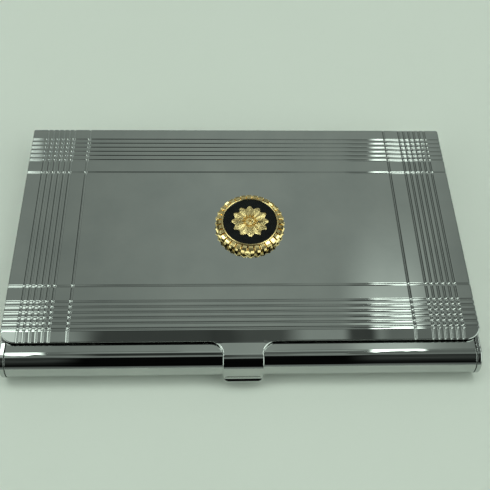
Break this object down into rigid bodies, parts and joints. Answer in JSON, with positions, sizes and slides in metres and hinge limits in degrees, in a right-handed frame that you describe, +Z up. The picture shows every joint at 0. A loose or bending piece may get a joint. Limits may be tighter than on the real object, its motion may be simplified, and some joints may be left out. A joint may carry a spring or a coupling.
{
  "type": "business card case",
  "caption": "Slim chromed metal case for business cards with a grooved hinged lid, a thumb tab, a sprung card leaf and a round gilt medallion.",
  "frame": {"origin": "on the resting face, at the middle of the closed case's length and depth (the thumb tab included)", "axes": "+X to the right along the case's long side, +Y towards the hinge, +Z up through the lid; the thumb tab is at -Y"},
  "size_m": [0.094, 0.0598, 0.0103],
  "materials": {
    "chrome_base": "mirror",
    "chrome_lid": "mirror, with engraved grooves",
    "hinge_steel": "bright",
    "leaf_steel": "brushed",
    "spring_steel": "drawn wire",
    "gilt": "polished gilt",
    "black_enamel": "glossy enamel",
    "adhesive": "foam pad"
  },
  "bodies": {
    "case": {"base_shell": "chrome_base", "end_plate_left": "chrome_base", "end_plate_right": "chrome_base", "base_hinge_leaf": "hinge_steel", "hinge_pin": "hinge_steel"},
    "lid": {"lid": "chrome_lid", "lid_hinge_leaf": "hinge_steel", "medallion_adhesive": "adhesive", "medallion_bezel": "gilt", "medallion_cup": "gilt", "medallion_enamel": "black_enamel", "medallion_emblem": "gilt"},
    "card_leaf": {"card_leaf": "leaf_steel", "lifter_spring_left": "spring_steel", "lifter_spring_right": "spring_steel"}
  },
  "joints": [
    {"name": "lid_hinge", "type": "hinge", "parent": "case", "child": "lid", "pos_m": [0, 0.02862, 0.0066], "axis": [-1, 0, 0], "range_deg": [0, 95]},
    {"name": "card_leaf_hinge", "type": "hinge", "parent": "case", "child": "card_leaf", "pos_m": [0, 0.02862, 0.0066], "axis": [-1, 0, 0], "range_deg": [0, 15.5]}
  ],
  "couplings": [
    {"joint": "card_leaf_hinge", "follows": "lid_hinge", "ratio": 0.16}
  ]
}
